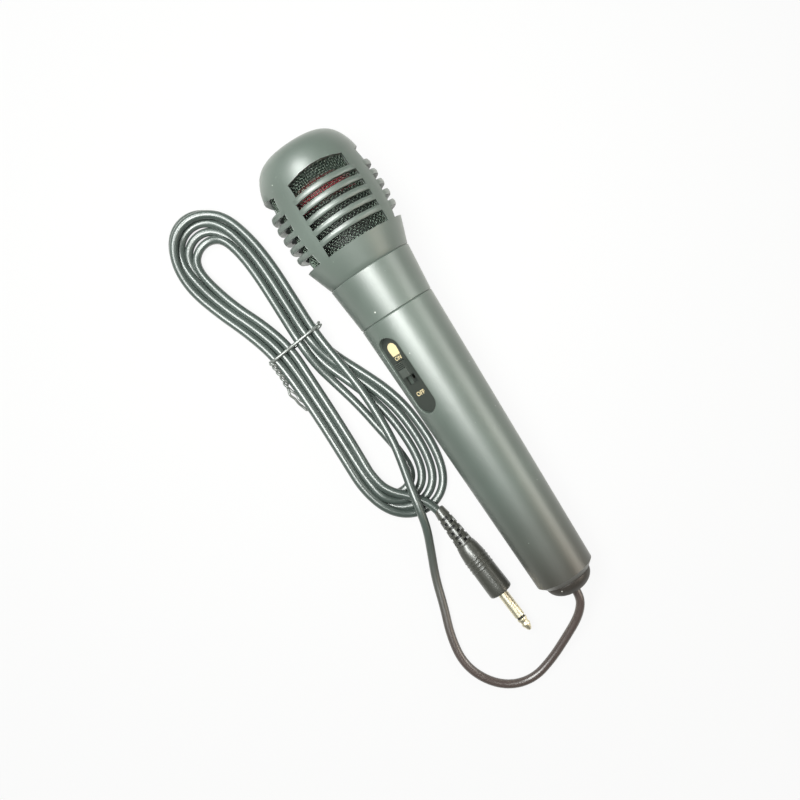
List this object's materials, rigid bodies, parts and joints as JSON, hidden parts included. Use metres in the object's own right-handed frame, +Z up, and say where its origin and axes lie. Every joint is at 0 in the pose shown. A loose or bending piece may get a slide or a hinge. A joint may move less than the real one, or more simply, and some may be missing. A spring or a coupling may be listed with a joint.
{
  "type": "dynamic microphone",
  "caption": "Hand-held dynamic microphone with barred head windows, slide switch, tied lead and mono phone plug, lying on its side.",
  "frame": {"origin": "on the floor under the middle of the microphone's box, its cord left out", "axes": "+X from the tail towards the head along the floor, +Z up, +Y towards the hank of cord beside it"},
  "size_m": [0.1978, 0.0744, 0.0377],
  "materials": {
    "shell_plastic": "satin moulded ABS",
    "capsule_red": "red moulded plastic",
    "inner_plastic": "matt",
    "film": "thin polyester film",
    "copper": "enamelled copper",
    "steel": "plain steel",
    "magnet_ferrite": "matt ferrite",
    "mesh_wire": "woven wire",
    "rubber": "matt",
    "board": "phenolic board",
    "plug_metal": "gold-coloured plating",
    "cord_pvc": "soft glossy PVC",
    "tie_wire": "PVC-covered wire",
    "insulator": "matt",
    "wire_red": "PVC",
    "wire_white": "PVC"
  },
  "bodies": {
    "casing": {"capsule_board": "board", "capsule_cap": "capsule_red", "capsule_cradle": "inner_plastic", "capsule_frame": "inner_plastic", "capsule_tags": "copper", "collar": "shell_plastic", "cord_end": "cord_pvc", "cord_hank": "cord_pvc", "cord_inside": "cord_pvc", "cord_lead": "cord_pvc", "cord_stop": "cord_pvc", "handle": "shell_plastic", "head_grille": "shell_plastic", "magnet": "magnet_ferrite", "magnet_yoke": "steel", "mesh_screen": "mesh_wire", "plug_body": "cord_pvc", "plug_boot": "cord_pvc", "plug_core": "plug_metal", "plug_insulator": "insulator", "plug_liner": "insulator", "plug_sleeve": "plug_metal", "plug_tip": "plug_metal", "pole_piece": "steel", "shock_ring": "rubber", "switch_base": "board", "switch_frame": "steel", "switch_lugs": "copper", "switch_plate": "shell_plastic", "tail_cap": "shell_plastic", "wire_ground": "wire_white", "wire_live": "wire_red", "wire_switched": "wire_red", "wire_tie": "tie_wire"},
    "switch_slide_body": {"switch_knob": "shell_plastic", "switch_slider": "inner_plastic", "switch_bridge": "copper"},
    "coil_body": {"diaphragm": "film", "voice_coil": "copper"}
  },
  "joints": [
    {"name": "switch_slide", "type": "slide", "parent": "casing", "child": "switch_slide_body", "axis": [-0.9981, 0, -0.0609], "range_m": [0, 0.0027]},
    {"name": "coil_stroke", "type": "slide", "parent": "casing", "child": "coil_body", "axis": [0.9981, 0, 0.0609], "range_m": [-0.0002, 0.0002], "stiffness_N_per_m": 60}
  ]
}
